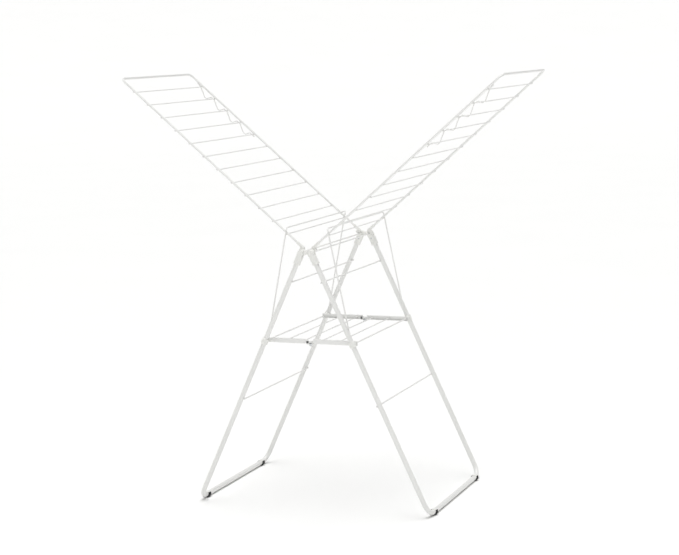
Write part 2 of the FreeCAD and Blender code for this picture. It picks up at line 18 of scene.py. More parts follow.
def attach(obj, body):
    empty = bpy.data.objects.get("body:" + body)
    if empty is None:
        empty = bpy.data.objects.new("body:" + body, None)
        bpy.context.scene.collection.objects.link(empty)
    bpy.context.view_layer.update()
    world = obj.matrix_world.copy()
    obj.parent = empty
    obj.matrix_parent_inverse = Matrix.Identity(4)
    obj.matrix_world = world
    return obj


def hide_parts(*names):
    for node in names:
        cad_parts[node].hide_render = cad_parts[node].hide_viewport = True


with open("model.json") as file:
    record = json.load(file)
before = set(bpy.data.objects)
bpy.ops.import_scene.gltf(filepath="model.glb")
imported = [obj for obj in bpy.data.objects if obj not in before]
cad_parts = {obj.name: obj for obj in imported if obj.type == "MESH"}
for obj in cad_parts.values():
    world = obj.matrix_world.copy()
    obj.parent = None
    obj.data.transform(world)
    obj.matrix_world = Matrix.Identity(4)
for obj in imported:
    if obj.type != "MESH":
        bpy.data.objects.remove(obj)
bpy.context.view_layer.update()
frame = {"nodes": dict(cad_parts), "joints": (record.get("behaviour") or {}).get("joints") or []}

log = logging.getLogger("drying_rack")

MM = 0.001
# Length in millimetres of the proud lip on a sleeve.
LIP_WIDE = 2.5
# Edges that meet at more than this many degrees are drawn sharp.
SHARP = 38


class Side(Enum):
    """Which half of the rack a piece belongs to."""

    LEFT = "left"
    RIGHT = "right"


class Slot(Enum):
    """The record's material slots."""

    COATED_STEEL = "white_powder_coated_steel"
    MOULDED = "white_moulded_plastic"
    RUBBER = "black_rubber"
    ZINC = "zinc_plated_steel"


# ---------------------------------------------------------------- colour and node helpers
def linear(hex_colour: str) -> tuple[float, float, float, float]:
    """Turns an sRGB hex colour to the linear values that the shader takes.

    Args:
        hex_colour: six hex digits with a leading hash.

    Returns:
        Red, green, blue and an alpha of 1.
    """
    parts = np.array([int(hex_colour[i : i + 2], 16) for i in (1, 3, 5)]) / 255.0
    low = parts / 12.92
    high = ((parts + 0.055) / 1.055) ** 2.4
    red, green, blue = np.where(parts <= 0.04045, low, high).tolist()
    return red, green, blue, 1.0


def add_node(tree: bpy.types.NodeTree, kind: str, settings: dict | None = None, **links: object) -> bpy.types.Node:
    """Adds one node, sets its values and links its inputs.

    Args:
        tree: the material's node tree.
        kind: the node's type name.
        settings: attribute names, or input names and numbers, with their values.
        links: input names, underscores for spaces, with the output socket that feeds each.

    Returns:
        The new node.
    """
    made = tree.nodes.new(kind)
    for name, value in (settings or {}).items():
        if isinstance(name, int) or name in made.inputs.keys():
            made.inputs[name].default_value = value
        else:
            setattr(made, name, value)
    for name, source in links.items():
        tree.links.new(source, made.inputs[name.replace("_", " ")])
    return made


# ---------------------------------------------------------------- finishes
@dataclass(frozen=True)
class Finish:
    """One surface finish: two near shades, gloss and a fine relief whose grain is a real size in millimetres."""

    name: str
    shade: str
    other_shade: str
    roughness: float
    ior: float
    metallic: float
    grain_mm: float
    relief_mm: float
    cloud_mm: float
    coat: float = 0.0
    gloss_change: float = 0.06
    stretch: tuple[float, float, float] = (1.0, 1.0, 1.0)

    def build(self) -> bpy.types.Material:
        """Builds the material: clouded colour, uneven gloss and a grain that lifts the surface.

        Returns:
            The node material.
        """
        material = bpy.data.materials.new(self.name)
        material.use_nodes = True
        tree = material.node_tree
        tree.nodes.clear()
        place = add_node(tree, "ShaderNodeTexCoord").outputs["Object"]
        drawn = add_node(tree, "ShaderNodeMapping", {"Scale": self.stretch}, Vector=place).outputs["Vector"]
        cloud_size = {"Scale": 1.0 / (self.cloud_mm * MM), "Detail": 3.0, "Roughness": 0.55}
        cloud = add_node(tree, "ShaderNodeTexNoise", cloud_size, Vector=place).outputs["Fac"]
        grain_size = {"Scale": 1.0 / (self.grain_mm * MM), "Detail": 2.0, "Roughness": 0.6}
        grain = add_node(tree, "ShaderNodeTexNoise", grain_size, Vector=drawn).outputs["Fac"]
        colour = add_node(
            tree, "ShaderNodeMix", {"data_type": "RGBA", 6: linear(self.shade), 7: linear(self.other_shade)}
        )
        tree.links.new(cloud, colour.inputs[0])
        gloss = add_node(
            tree,
            "ShaderNodeMapRange",
            {
                "From Min": 0.3,
                "From Max": 0.7,
                "To Min": self.roughness - self.gloss_change,
                "To Max": self.roughness + self.gloss_change,
            },
            Value=grain,
        ).outputs["Result"]
        relief = add_node(
            tree, "ShaderNodeBump", {"Strength": 0.6, "Distance": self.relief_mm * MM}, Height=grain
        ).outputs["Normal"]
        shader = add_node(
            tree,
            "ShaderNodeBsdfPrincipled",
            {"Metallic": self.metallic, "IOR": self.ior, "Coat Weight": self.coat, "Coat Roughness": 0.2},
            Base_Color=colour.outputs[2],
            Roughness=gloss,
            Normal=relief,
        )
        add_node(tree, "ShaderNodeOutputMaterial", Surface=shader.outputs["BSDF"])
        return material


# Polyester powder coat, sprayed dry and baked on steel: an even satin white with a faint orange peel.
# The peel's real wave is about 1.5 mm; it is drawn at 2 mm so that it shows on the tubes.
POWDER_COAT = Finish("polyester_powder_coat", "#ececea", "#e5e5e3", 0.36, 1.5, 0.0, 2.0, 0.05, 140.0, coat=0.15)
# The same coat gathered on a weld: a little duller, with a lumpy skin from the bead under it.
COATED_WELD = Finish("powder_coat_over_weld", "#e2e2df", "#d6d6d2", 0.45, 1.5, 0.0, 1.2, 0.12, 20.0)
# Polypropylene, injection moulded in a spark-eroded tool: soft sheen and a fine matte grain of about 0.6 mm.
MOULDED_PP = Finish("moulded_polypropylene", "#eeeeeb", "#e6e6e2", 0.48, 1.49, 0.0, 0.9, 0.06, 60.0)
# Thermoplastic rubber, moulded: near black, dull, with floor dust greying it in soft patches.
FOOT_RUBBER = Finish("moulded_rubber", "#161617", "#29292a", 0.82, 1.52, 0.0, 0.8, 0.1, 9.0)
# Bright zinc plate on small turned steel parts: pale blue-white metal, dulled by handling, with fine turning marks.
ZINC_PLATE = Finish(
    "bright_zinc_plate", "#dcdee0", "#cfd2d4", 0.55, 1.45, 1.0, 0.9, 0.03, 25.0,
    gloss_change=0.1, stretch=(1.0, 0.08, 1.0),
)
# Matt wall paint on the studio floor: pale, dull and without a pattern that shows.
STUDIO_PAINT = Finish("pale_studio_paint", "#fafaf9", "#f7f7f6", 0.85, 1.45, 0.0, 3.0, 0.02, 900.0)


class Paints:
    """Builds each finish once and hands out its material."""

    def __init__(self) -> None:
        """Starts with nothing built."""
        self._made: dict[str, bpy.types.Material] = {}

    def get(self, finish: Finish) -> bpy.types.Material:
        """Returns the finish's material, made on first use.

        Args:
            finish: the finish to look up.

        Returns:
            Its material.
        """
        if finish.name not in self._made:
            self._made[finish.name] = finish.build()
        return self._made[finish.name]


PAINTS = Paints()


# ---------------------------------------------------------------- surfaces from numpy
@dataclass
class Shell:
    """A closed surface: its points and its faces."""

    points: np.ndarray
    faces: list[tuple[int, ...]]

    def outward(self) -> "Shell":
        """Turns every face over if the signed volume is negative, so that faces point outwards.

        Volume is the sum over fan triangles of first corner . (second corner x third corner) / 6.

        Returns:
            The shell, turned over or as it was.
        """
        fans = np.array([(f[0], f[i], f[i + 1]) for f in self.faces for i in range(1, len(f) - 1)])
        a, b, c = (self.points[fans[:, k]] - self.points.mean(0) for k in range(3))
        if float(np.einsum("ij,ij->i", a, np.cross(b, c)).sum()) < 0:
            return Shell(self.points, [f[::-1] for f in self.faces])
        return self


def join(shells: list[Shell]) -> Shell:
    """Puts several shells into one, each kept closed and facing outwards.

    Args:
        shells: the closed shells to put together.

    Returns:
        One shell.
    """
    faces: list[tuple[int, ...]] = []
    start = 0
    for shell in shells:
        faces += [tuple(i + start for i in f) for f in shell.outward().faces]
        start += len(shell.points)
    return Shell(np.concatenate([s.points for s in shells]), faces)


def skin(rings: np.ndarray) -> Shell:
    """Joins a stack of rings into a shell: a grid in (ring, turn), with a flat face over each end.

    Args:
        rings: points as (ring, turn, xyz).

    Returns:
        The shell, quads between rings.
    """
    count, sides = rings.shape[:2]
    ring = np.arange(count - 1)[:, None]
    turn = np.arange(sides)[None, :]
    after = ring + 1
    beside = (turn + 1) % sides
    quads = np.stack([ring * sides + turn, ring * sides + beside, after * sides + beside, after * sides + turn], -1)
    faces = [tuple(q) for q in quads.reshape(-1, 4).tolist()]
    faces.append(tuple(range(sides))[::-1])
    faces.append(tuple(range((count - 1) * sides, count * sides)))
    return Shell(rings.reshape(-1, 3), faces)


@dataclass(frozen=True)
class BodyFrame:
    """A body's own coordinates in millimetres: pivot at zero, arms along -z, turned about y.

    The right side then takes a half turn about the rack's upright axis.
    """

    x: float
    z: float
    angle: float
    side: Side

    def place(self, shell: Shell) -> Shell:
        """Carries a shell to the rack's coordinates, in metres.

        x' = x cos a + z sin a and z' = z cos a - x sin a, plus the pivot; the right side then negates x and y.

        Args:
            shell: the shell in the body's own coordinates.

        Returns:
            The shell where it belongs.
        """
        turn = math.radians(self.angle)
        x, y, z = shell.points.T
        across = x * math.cos(turn) + z * math.sin(turn) + self.x
        up = z * math.cos(turn) - x * math.sin(turn) + self.z
        out = np.stack([across, y, up], 1)
        if self.side is Side.RIGHT:
            out = out * np.array([-1.0, -1.0, 1.0])
        return Shell(out * MM, shell.faces)


def turned(profile: np.ndarray, origin: tuple[float, float, float], axis: str = "y", sides: int = 28) -> Shell:
    """A turned shape: each profile point (along, radius) swept once round the axis.

    Args:
        profile: (n, 2) distances along the axis and radii.
        origin: where distance zero lies.
        axis: "y" or "z".
        sides: facets round the axis.

    Returns:
        The closed shell.
    """
    turn = np.linspace(0, 2 * math.pi, sides, endpoint=False)
    along = np.repeat(profile[:, :1], sides, 1)
    first = profile[:, 1:] * np.cos(turn)
    second = profile[:, 1:] * np.sin(turn)
    rings = np.stack([first, along, second] if axis == "y" else [first, second, along], -1)
    return skin(rings + np.array(origin))


def eased(start: float, end: float, radius: float, edge: float, lip: float = 0.0) -> np.ndarray:
    """Profile of a plain round part with quarter-circle edges and, if asked, a proud lip at its start.

    Args:
        start: where it begins on the axis.
        end: where it stops.
        radius: its radius.
        edge: the edge rounding.
        lip: how far the first stretch, LIP_WIDE long, stands proud.

    Returns:
        (n, 2) profile points.
    """
    arc = np.linspace(0, math.pi / 2, 5)
    way = 1.0 if end > start else -1.0
    head = np.stack([start + way * edge * (1 - np.cos(arc)), radius + lip - edge * (1 - np.sin(arc))], 1)
    tail = np.stack([end - way * edge * (1 - np.cos(arc)), radius - edge * (1 - np.sin(arc))], 1)[::-1]
    if not lip:
        return np.concatenate([head, tail])
    step = np.array([[start + way * LIP_WIDE, radius + lip], [start + way * (LIP_WIDE + 0.4), radius]])
    return np.concatenate([head, step, tail])


def domed(base: float, top: float, radius: float, recess: float = 0.0) -> np.ndarray:
    """Profile of a button head: an ellipse from its rim to its crown, with a round driver recess if asked.

    Args:
        base: where the head sits.
        top: where its crown is.
        radius: rim radius.
        recess: depth of the recess, zero for none.

    Returns:
        (n, 2) profile points.
    """
    arc = np.linspace(0, math.pi / 2 - 0.08, 8)
    dome = np.stack([base + (top - base) * (0.25 + 0.75 * np.sin(arc)), radius * np.cos(arc)], 1)
    foot = np.array([[base, radius]])
    if not recess:
        return np.concatenate([foot, dome])
    way = 1.0 if top > base else -1.0
    keep = dome[dome[:, 1] > 0.6 * radius]
    top_edge, bottom = keep[-1, 0], keep[-1, 0] - way * recess
    hollow = np.array([[top_edge, 0.56 * radius], [bottom, 0.5 * radius], [bottom, 0.02]])
    return np.concatenate([foot, keep, hollow])


def slab(outline: np.ndarray, inner: float, outer: float, edge: float) -> Shell:
    """A plate along y with rounded edges.

    A point is outline(u) - normal(u) * inset(v) at depth y(v), where inset and depth run round a quarter circle at
    each face.

    Args:
        outline: (n, 2) closed outline in x and z, anticlockwise.
        inner: y of one face.
        outer: y of the other.
        edge: edge rounding.

    Returns:
        The closed shell.
    """
    ahead = np.roll(outline, -1, 0) - np.roll(outline, 1, 0)
    ahead = ahead / np.linalg.norm(ahead, axis=1, keepdims=True)
    normal = np.stack([ahead[:, 1], -ahead[:, 0]], 1)
    arc = np.linspace(0, math.pi / 2, 4)
    inset = np.concatenate([edge * (1 - np.sin(arc)), edge * (1 - np.sin(arc))[::-1]])
    round_off = math.copysign(edge, outer - inner) * (1 - np.cos(arc))
    depth = np.concatenate([inner + round_off, outer - round_off[::-1]])
    flat = outline[None] - normal[None] * inset[:, None, None]
    rings = np.stack([flat[..., 0], np.repeat(depth[:, None], len(outline), 1), flat[..., 1]], -1)
    return skin(rings)


def super_outline(
    wide: float, low: float, high: float, low_power: float, high_power: float, count: int = 48
) -> np.ndarray:
    """Closed outline from two half superellipses, each with its power p.

    x = w sgn(cos)|cos|^(2/p) and z = h sgn(sin)|sin|^(2/p).

    Args:
        wide: half width.
        low: depth below zero.
        high: height above zero.
        low_power: power of the lower half; 2 is an ellipse, more is squarer.
        high_power: power of the upper half.
        count: points round the outline.

    Returns:
        (count, 2) x and z.
    """
    turn = (np.arange(count) + 0.5) / count * 2 * math.pi
    cos, sin = np.cos(turn), np.sin(turn)
    power = np.where(sin < 0, low_power, high_power)
    tall = np.where(sin < 0, low, high)
    x = wide * np.sign(cos) * np.abs(cos) ** (2 / power)
    z = tall * np.sign(sin) * np.abs(sin) ** (2 / power)
    return np.stack([x, z], 1)


def lofted(levels: np.ndarray, centre_y: float, sides: int = 40) -> Shell:
    """A body of stacked superellipses up z.

    Args:
        levels: (n, 4) height, half width in x, half width in y and power.
        centre_y: y of the axis.
        sides: points round each section.

    Returns:
        The closed shell.
    """
    turn = (np.arange(sides) + 0.5) / sides * 2 * math.pi
    cos, sin = np.cos(turn)[None], np.sin(turn)[None]
    power = 2 / levels[:, 3:4]
    x = levels[:, 1:2] * np.sign(cos) * np.abs(cos) ** power
    y = levels[:, 2:3] * np.sign(sin) * np.abs(sin) ** power + centre_y
    return skin(np.stack([x, y, np.repeat(levels[:, :1], sides, 1)], -1))


def beads(centres: np.ndarray, sizes: tuple[float, float, float], rough: float = 0.12) -> Shell:
    """Weld beads: ellipsoids whose skin swells by a few crossed sine ripples.

    Args:
        centres: (n, 3) bead centres.
        sizes: half sizes in x, y and z.
        rough: ripple height as a share of the bead.

    Returns:
        One shell holding every bead.
    """
    up = np.linspace(-math.pi / 2 + 0.12, math.pi / 2 - 0.12, 7)[:, None]
    turn = np.linspace(0, 2 * math.pi, 12, endpoint=False)[None]
    swell = 1 + rough * np.sin(3 * turn + 1.3) * np.cos(2 * up)
    unit = np.stack([np.cos(up) * np.cos(turn) * swell, np.sin(up) + 0 * turn, np.cos(up) * np.sin(turn) * swell], -1)
    one = skin(unit * np.array(sizes))
    return join([Shell(one.points + centre, one.faces) for centre in centres])


def add_piece(
    name: str,
    shells: list[Shell],
    place: BodyFrame,
    body: str,
    finish: Finish,
    nodes: tuple[str, ...] = (),
) -> None:
    """Makes a finished piece from shells, dresses it and ties it to its body.

    Args:
        name: the piece's name.
        shells: its shells in the body's own coordinates.
        place: those coordinates.
        body: the body it rides on.
        finish: its finish.
        nodes: CAD nodes it stands for.
    """
    shell = place.place(join(shells))
    mesh = bpy.data.meshes.new(name)
    mesh.from_pydata(shell.points.tolist(), [], shell.faces)
    mesh.validate()
    mesh.polygons.foreach_set("use_smooth", np.ones(len(mesh.polygons), bool))
    mesh.set_sharp_from_angle(angle=math.radians(SHARP))
    mesh.materials.append(PAINTS.get(finish))
    piece = bpy.data.objects.new(name, mesh)
    bpy.context.scene.collection.objects.link(piece)
    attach(piece, body)
    if nodes:
        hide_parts(*nodes)
    log.info("%s: %d faces on %s", name, len(shell.faces), body)


def dress(node: str, finish: Finish) -> None:
    """Gives a CAD node that stays its finish.

    Args:
        node: the node's name.
        finish: the finish.
    """
    made = frame["nodes"][node]
    for index in range(max(1, len(made.material_slots))):
        if len(made.material_slots) <= index:
            made.data.materials.append(PAINTS.get(finish))
        made.material_slots[index].material = PAINTS.get(finish)
    log.info("%s: kept, %s", node, finish.name)


def pivot(joint: str) -> tuple[float, float]:
    """A joint's x and z in millimetres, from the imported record."""
    found = next(j for j in frame["joints"] if j["name"] == joint)
    return found["pos_m"][0] / MM, found["pos_m"][2] / MM


BOTH = ((-1, "near"), (1, "far"))


def own_name(side: Side, sign: int) -> str:
    """Whether a body's own -y or +y side ends up near or far once the right half is turned."""
    return "near" if (sign < 0) == (side is Side.LEFT) else "far"


# ---------------------------------------------------------------- sub-assemblies
@dataclass
class HingeHead:
    """The fixed head: link plates, the two rods and their push-on caps. Millimetres."""

    spacing: float = 33.0
    plate_y: tuple[float, float] = (276.0, 284.0)
    eye: float = 9.0
    waist: float = 6.0
    boss: float = 6.3
    boss_y: tuple[float, float] = (270.0, 290.0)
    cap_y: tuple[float, float] = (292.2, 294.6)
    cap: float = 5.0

    def plate_outline(self) -> np.ndarray:
        """Dog-bone outline: the eye's circle past each pivot, and a raised cosine down to the waist between them.

        Returns:
            (72, 2) closed outline in x and z.
        """
        reach = self.spacing / 2 + self.eye
        turn = (np.arange(72) + 0.5) / 72 * 2 * math.pi
        x = reach * np.cos(turn)
        past = np.abs(x) - self.spacing / 2
        round_end = np.sqrt(np.clip(self.eye**2 - past**2, 0, None))
        middle = self.waist + (self.eye - self.waist) * (0.5 - 0.5 * np.cos(math.pi * np.abs(x) / (self.spacing / 2)))
        return np.stack([x, np.sign(np.sin(turn)) * np.where(past > 0, round_end, middle)], 1)

    def build(self) -> None:
        """Builds the plates and caps and dresses the rods."""
        place = BodyFrame(0.0, pivot("left_wing_hinge")[1], 0.0, Side.LEFT)
        for sign, label in BOTH:
            plate = slab(self.plate_outline(), sign * self.plate_y[0], sign * self.plate_y[1], 0.8)
            boss = turned(eased(sign * self.boss_y[0], sign * self.boss_y[1], self.boss, 1.0), (0, 0, 0))
            nodes = (f"{label}_hinge_link",)
            add_piece(f"{label}_hinge_plate", [plate, boss], place, "hinge_head", MOULDED_PP, nodes)
        caps = []
        for sign, _ in BOTH:
            for x in (-self.spacing / 2, self.spacing / 2):
                caps.append(turned(domed(sign * self.cap_y[0], sign * self.cap_y[1], self.cap), (x, 0, 0)))
        add_piece("push_on_caps", caps, place, "hinge_head", MOULDED_PP, ("hinge_rod_caps",))
        for side in Side:
            dress(f"{side.value}_hinge_rod", POWDER_COAT)


@dataclass
class LegFrame:
    """One bent leg frame with its braces, sockets, brackets and feet. Millimetres."""

    side: Side
    lean: float = 24.74
    half: float = 280.0
    tube: float = 8.0
    length: float = 921.0
    sleeve: float = 12.0
    cheek: float = 9.5
    slot_half: float = 4.1
    rod_pad: float = 5.6
    braces: tuple[float, float] = (101.7, 536.2)
    shelf_at: float = 323.6
    boss_y: float = 258.8
    boss: float = 6.5
    collar: float = 11.5
    pad_middle: float = 230.0
    pad_half: float = 8.0
    pad: float = 11.6
    groove: float = 0.5
    groove_pitch: float = 2.6
    clip: float = 10.0
    clip_bore: float = 8.1
    foot_sole: float = 11.0

    def __post_init__(self) -> None:
        """Works out the frame's own coordinates from its hinge."""
        x, z = pivot("left_leg_hinge")
        self.name = self.side.value
        self.body = f"{self.name}_leg_frame"
        self.place = BodyFrame(x, z, self.lean, self.side)
        lean = math.radians(self.lean)
        self.foot = BodyFrame(x - self.length * math.sin(lean), z - self.length * math.cos(lean), 0.0, self.side)

    def socket_shells(self, sign: int) -> list[Shell]:
        """A lipped sleeve that squares off below the slot, and two round-topped cheeks.

        Args:
            sign: -1 for the -y side, 1 for the +y side.

        Returns:
            The sleeve, the cheeks and their rod pads.
        """
        y = sign * self.half
        levels = np.array(
            [
                [-42.0, 11.2, 11.2, 2.0],
                [-41.7, 11.9, 11.9, 2.0],
                [-41.0, 12.3, 12.2, 2.0],
                [-38.5, 12.3, 12.2, 2.0],
                [-38.1, 11.9, 11.9, 2.0],
                [-26.0, 11.9, 11.9, 2.1],
                [-20.0, 11.7, 11.9, 2.5],
                [-15.0, 10.7, 12.0, 3.6],
                [-12.0, 9.8, 12.0, 5.0],
                [-10.9, 9.4, 11.9, 6.0],
            ]
        )
        shells = [lofted(levels, y)]
        outline = super_outline(self.cheek, 13.0, self.cheek, 7.0, 2.0)
        for way in (-1, 1):
            slot_face = sign * (self.half + way * self.slot_half)
            rim = sign * (self.half + way * self.sleeve)
            shells.append(slab(outline, min(rim, slot_face, key=abs), max(rim, slot_face, key=abs), 0.9))
            out = sign * way
            shells.append(turned(eased(rim - out * 0.5, rim + out * 0.12, self.rod_pad, 0.1), (0, 0, 0)))
        return shells

    def screws(self) -> Shell:
        """Button heads with a driver recess on the inner face of each socket.

        Returns:
            The heads in one shell.
        """
        heads = []
        for sign, _ in BOTH:
            face = sign * (self.half - self.sleeve)
            heads.append(turned(domed(face + sign * 0.9, face - sign * 1.0, 3.0, 0.7), (0, 0, -18.0)))
        return join(heads)

    def bracket_shells(self, sign: int) -> list[Shell]:
        """A collar round the leg with two proud rims, and a stepped boss towards the shelf bar.

        Args:
            sign: -1 for the -y side, 1 for the +y side.

        Returns:
            The collar and the boss.
        """
        y = sign * self.half
        rim = self.collar
        low, high = -self.shelf_at - 9.0, -self.shelf_at + 9.0
        profile = np.array(
            [
                [low, 9.6], [low + 0.3, 10.9], [low + 1.0, rim], [low + 2.4, rim], [low + 2.9, 11.0],
                [high - 2.9, 11.0], [high - 2.4, rim], [high - 1.0, rim], [high - 0.3, 10.9], [high, 9.6],
            ]
        )
        collar = turned(profile, (0, y, 0), "z", 36)
        steps = np.array([[0, 5.2], [0.4, 6.2], [1.2, self.boss], [7, self.boss], [10, 7.4], [13.5, 8.6]])
        steps[:, 0] = sign * (self.boss_y + steps[:, 0])
        return [collar, turned(steps, (0, 0, -self.shelf_at))]

    def pad_shell(self, sign: int) -> Shell:
        """A rubber shoe round the foot bar: a C section with grooves across it.

        Its outer radius is the pad's less a square wave along it; heights below the sole are raised to the sole.

        Args:
            sign: -1 for the -y side, 1 for the +y side.

        Returns:
            The closed shoe.
        """
        along = np.linspace(-self.pad_half, self.pad_half, 50)
        arc = np.linspace(math.radians(-214), math.radians(34), 36)
        end = np.clip((self.pad_half - np.abs(along)) / 0.8, 0, 1)
        wave = self.groove * (np.cos(along / self.groove_pitch * 2 * math.pi) < -0.2)
        outer = (self.pad - wave - 0.8 * (1 - np.sqrt(1 - (1 - end) ** 2)))[:, None]
        inner = np.full_like(outer, 8.06)
        x = np.concatenate([outer * np.cos(arc), (inner * np.cos(arc))[:, ::-1]], 1)
        z = np.concatenate([outer * np.sin(arc), (inner * np.sin(arc))[:, ::-1]], 1)
        sole = -self.foot_sole + wave[:, None]
        y = np.repeat((sign * self.pad_middle + along)[:, None], x.shape[1], 1)
        return skin(np.stack([x, y, np.maximum(z, sole)], -1))

    def clip_shells(self, sign: int) -> list[Shell]:
        """A snap clip: two end bands over the bar's upper half and a narrower saddle between them.

        Each is an arc between the clip's bore and its outside, carried along y.

        Args:
            sign: -1 for the -y side, 1 for the +y side.

        Returns:
            Three closed arcs.
        """
        middle = sign * self.pad_middle
        shells = []
        for start, end, wide in ((-10.0, -8.1, 78.0), (-8.1, 8.1, 52.0), (8.1, 10.0, 78.0)):
            arc = np.radians(np.linspace(90.0 - wide, 90.0 + wide, 24))
            x = np.concatenate([self.clip * np.cos(arc), (self.clip_bore * np.cos(arc))[::-1]])[None]
            z = np.concatenate([self.clip * np.sin(arc), (self.clip_bore * np.sin(arc))[::-1]])[None]
            along = np.array([start, end])[:, None]
            shells.append(skin(np.stack([np.repeat(x, 2, 0), middle + along + 0 * x, np.repeat(z, 2, 0)], -1)))
        return shells

    def build(self) -> None:
        """Builds the frame's pieces and dresses its tubes."""
        for sign, _ in BOTH:
            label = f"{self.name}_{own_name(self.side, sign)}"
            head, collar = self.socket_shells(sign), self.bracket_shells(sign)
            nodes = (f"{label}_socket",)
            add_piece(f"{label}_leg_head", head, self.place, self.body, MOULDED_PP, nodes)
            nodes = (f"{label}_bracket",)
            add_piece(f"{label}_collar", collar, self.place, self.body, MOULDED_PP, nodes)
        nodes = (f"{self.name}_socket_screws",)
        add_piece(f"{self.name}_screw_heads", [self.screws()], self.place, self.body, ZINC_PLATE, nodes)
        pads = [self.pad_shell(sign) for sign, _ in BOTH]
        nodes = (f"{self.name}_foot_pads",)
        add_piece(f"{self.name}_ribbed_pads", pads, self.foot, self.body, FOOT_RUBBER, nodes)
        clips = [shell for sign, _ in BOTH for shell in self.clip_shells(sign)]
        nodes = (f"{self.name}_foot_clips",)
        add_piece(f"{self.name}_snap_clips", clips, self.foot, self.body, MOULDED_PP, nodes)
        centres = np.array(
            [
                [self.tube + 1.1, sign * (self.half + shift), -at]
                for at in self.braces
                for sign, _ in BOTH
                for shift in (-2.2, 2.2)
            ]
        )
        welds = [beads(centres, (1.9, 1.5, 2.7))]
        add_piece(f"{self.name}_brace_welds", welds, self.place, self.body, COATED_WELD)
        for node in ("leg_tube", "upper_brace", "lower_brace"):
            dress(f"{self.name}_{node}", POWDER_COAT)


@dataclass
class Wing:
    """One wing: its hoop, twelve crimped wires, the hanger rail and two knuckles. Millimetres."""

    side: Side
    rise: float = 40.8
    rail_y: float = 262.5
    rail: float = 3.75
    rail_x: float = -9.5
    length: float = 845.6
    wire: float = 1.8
    wire_x: float = -4.05
    tip_gap: float = 62.3
    hinge_gap: float = 79.6
    wide_ratio: float = 1.032
    wires: int = 12
    wide_pitches: int = 7
    hanger_ties: int = 5

    def __post_init__(self) -> None:
        """Works out the wing's own coordinates from its hinge."""
        x, z = pivot("left_wing_hinge")
        self.name = self.side.value
        self.body = f"{self.name}_wing"
        self.place = BodyFrame(x, z, 90.0 + self.rise, self.side)

    def wire_distances(self) -> np.ndarray:
        """Distances of the wires from the hinge: seven wide pitches from the tip, then four closer ones.

        Returns:
            (12,) distances in millimetres.
        """
        index, wide = np.arange(self.wires), self.wide_pitches
        run = self.length - self.tip_gap - self.hinge_gap
        close = run / (wide * self.wide_ratio + self.wires - 1 - wide)
        steps = np.minimum(index, wide) * self.wide_ratio + np.maximum(index - wide, 0)
        return self.length - self.tip_gap - close * steps

    def crimped_wires(self) -> list[Shell]:
        """Straight wires pressed flat where they cross the rails.

        Along y the half width grows and the half depth shrinks by a smooth step over the last 9 mm, and both close
        to a dome at the ends.

        Returns:
            One shell a wire.
        """
        half = self.rail_y + self.rail - 0.3
        core = np.append(0.0, half - np.array([14, 11, 9, 7, 3, 1.2, 0.5, 0.15, 0]))
        along = np.concatenate([-core[:0:-1], core])
        press = np.clip((np.abs(along) - (half - 11)) / 4, 0, 1)
        press = press * press * (3 - 2 * press)
        dome = np.sqrt(np.clip(1 - np.clip((np.abs(along) - half + 1.2) / 1.22, 0, 1) ** 2, 0.02, 1))
        deep = self.wire * (1 - 0.24 * press) * dome
        wide = self.wire * (1 + 0.3 * press) * dome
        turn = np.linspace(0, 2 * math.pi, 14, endpoint=False)[None]
        lift = -0.32 * press[:, None]
        x = self.wire_x + lift + deep[:, None] * np.cos(turn)
        z = wide[:, None] * np.sin(turn)
        one = skin(np.stack([x, np.repeat(along[:, None], 14, 1), z], -1))
        return [Shell(one.points - np.array([0.0, 0.0, far]), one.faces) for far in self.wire_distances()]

    def rail_welds(self) -> Shell:
        """A bead each side of every wire where it meets each rail.

        Returns:
            The beads in one shell.
        """
        centres = np.array(
            [
                [self.rail_x + 4.0, sign * self.rail_y, -(far + shift)]
                for far in self.wire_distances()
                for sign, _ in BOTH
                for shift in (-1.9, 1.9)
            ]
        )
        return beads(centres, (1.3, 2.4, 1.4))

    def hanger_welds(self) -> Shell:
        """A bead where the hanger rail touches each of its wires.

        Returns:
            The beads in one shell.
        """
        centres = np.array(
            [
                [self.wire_x + 2.6, self.rail_y + shift, -far]
                for far in self.wire_distances()[: self.hanger_ties]
                for shift in (-1.5, 1.5)
            ]
        )
        return beads(centres, (1.3, 1.4, 1.9))

    def knuckle(self, sign: int) -> list[Shell]:
        """An eye on the hinge rod, a web and a lipped sleeve over the rail's end.

        Args:
            sign: -1 for the -y side, 1 for the +y side.

        Returns:
            The eye, the web and the sleeve.
        """
        inner, outer = sign * (self.rail_y - 4.0), sign * (self.rail_y + 4.0)
        eye = slab(super_outline(6.0, 6.0, 6.0, 2.0, 2.0), inner, outer, 0.8)
        web = slab(super_outline(8.2, 7.0, 7.0, 5.0, 5.0) + np.array([-3.9, -9.0]), inner, outer, 0.8)
        sleeve = turned(eased(-36.0, -6.0, 5.0, 0.8, 0.2), (self.rail_x, sign * self.rail_y, 0), "z")
        return [eye, web, sleeve]

    def build(self) -> None:
        """Builds the wing's pieces and dresses its hoop and hanger rail."""
        wires, nodes = self.crimped_wires(), (f"{self.name}_wing_wires",)
        add_piece(f"{self.name}_crimped_wires", wires, self.place, self.body, POWDER_COAT, nodes)
        welds = [self.rail_welds(), self.hanger_welds()]
        add_piece(f"{self.name}_wire_welds", welds, self.place, self.body, COATED_WELD)
        for sign, _ in BOTH:
            label = own_name(self.side, sign)
            knuckle, nodes = self.knuckle(sign), (f"{self.name}_wing_{label}_end",)
            add_piece(f"{self.name}_{label}_knuckle", knuckle, self.place, self.body, MOULDED_PP, nodes)
        for node in ("wing_frame", "hanger_wire"):
            dress(f"{self.name}_{node}", POWDER_COAT)


